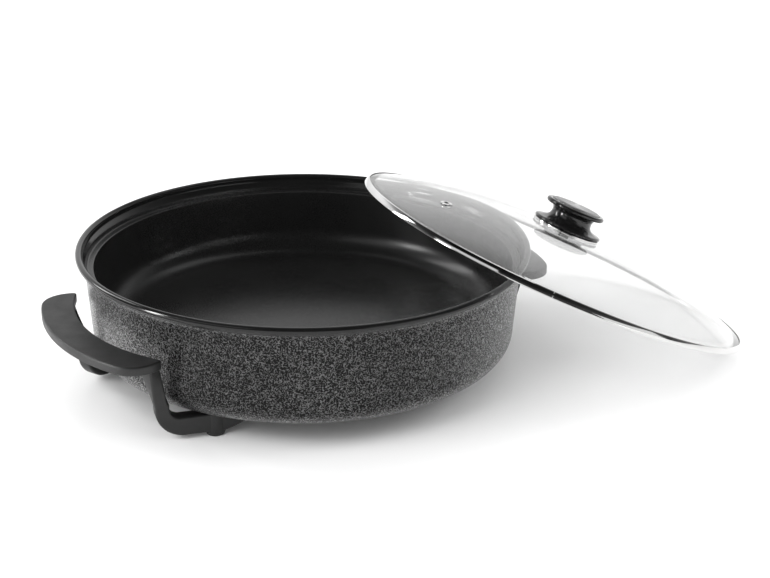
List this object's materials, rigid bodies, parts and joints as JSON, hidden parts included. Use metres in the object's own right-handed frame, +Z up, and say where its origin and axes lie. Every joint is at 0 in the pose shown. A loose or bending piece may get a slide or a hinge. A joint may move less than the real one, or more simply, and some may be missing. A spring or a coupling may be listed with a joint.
{
  "type": "electric pizza maker",
  "caption": "Round electric pizza pan with a hammered shell, leg handles, a glass lid leaning on its rim, and a plug-in thermostat with a dial.",
  "frame": {"origin": "middle of the footprint, on the surface that the feet stand on, with the lid leaning and the thermostat plugged in", "axes": "+X from the left grip towards the leaning lid, +Y away from the viewer, +Z up"},
  "size_m": [0.6433, 0.4836, 0.161],
  "materials": {
    "nonstick_black": "satin",
    "hammertone_grey": "hammered",
    "raw_aluminium": "satin",
    "element_sheath": "matt",
    "zinc_steel": "satin",
    "nickel_plate": "bright",
    "phenolic_black": "satin",
    "gloss_black": "gloss",
    "rubber_black": "matt",
    "clear_glass": "polished",
    "polished_steel": "mirror",
    "silver_cap": "satin",
    "clear_silicone": "matt",
    "brass": "satin",
    "ceramic": "matt",
    "amber_lens": "translucent",
    "controller_black": "fine texture"
  },
  "bodies": {
    "base": {"cooking_pan": "nonstick_black", "outer_shell": "hammertone_grey", "heat_spreader": "raw_aluminium", "heating_element": "element_sheath", "element_clamps": "zinc_steel", "probe_sleeve": "zinc_steel", "shell_studs": "zinc_steel", "shell_nuts": "zinc_steel", "inlet_shroud": "phenolic_black", "inlet_bracket": "zinc_steel", "inlet_screws": "zinc_steel", "terminal_pins": "nickel_plate", "earth_contact": "brass", "left_handle": "phenolic_black", "right_handle": "phenolic_black", "handle_screws": "zinc_steel", "handle_nuts": "zinc_steel", "foot_pads": "rubber_black"},
    "lid": {"lid_glass": "clear_glass", "lid_band": "polished_steel", "vent_eyelet": "polished_steel", "knob_base_ring": "polished_steel", "knob_body": "gloss_black", "knob_cap": "silver_cap", "knob_gasket": "clear_silicone", "knob_washer": "zinc_steel", "knob_screw": "zinc_steel"},
    "controller": {"controller_base": "controller_black", "controller_cover": "controller_black", "controller_screws": "zinc_steel", "contact_sleeves": "brass", "probe_tube": "nickel_plate", "thermostat_switch": "ceramic", "pilot_lens": "amber_lens", "cord_bushing": "rubber_black"},
    "dial": {"dial_spindle": "brass", "control_dial": "phenolic_black"}
  },
  "joints": [
    {"name": "lid_lift", "type": "slide", "parent": "base", "child": "lid", "axis": [0, 0, 1], "range_m": [0, 0.25]},
    {"name": "controller_pull", "type": "slide", "parent": "base", "child": "controller", "axis": [-0.5621, 0.8271, 0], "range_m": [0, 0.09]},
    {"name": "dial_turn", "type": "hinge", "parent": "controller", "child": "dial", "pos_m": [-0.239, 0.17774, 0.031], "axis": [0, 0, 1], "range_deg": [-270, 0]}
  ]
}
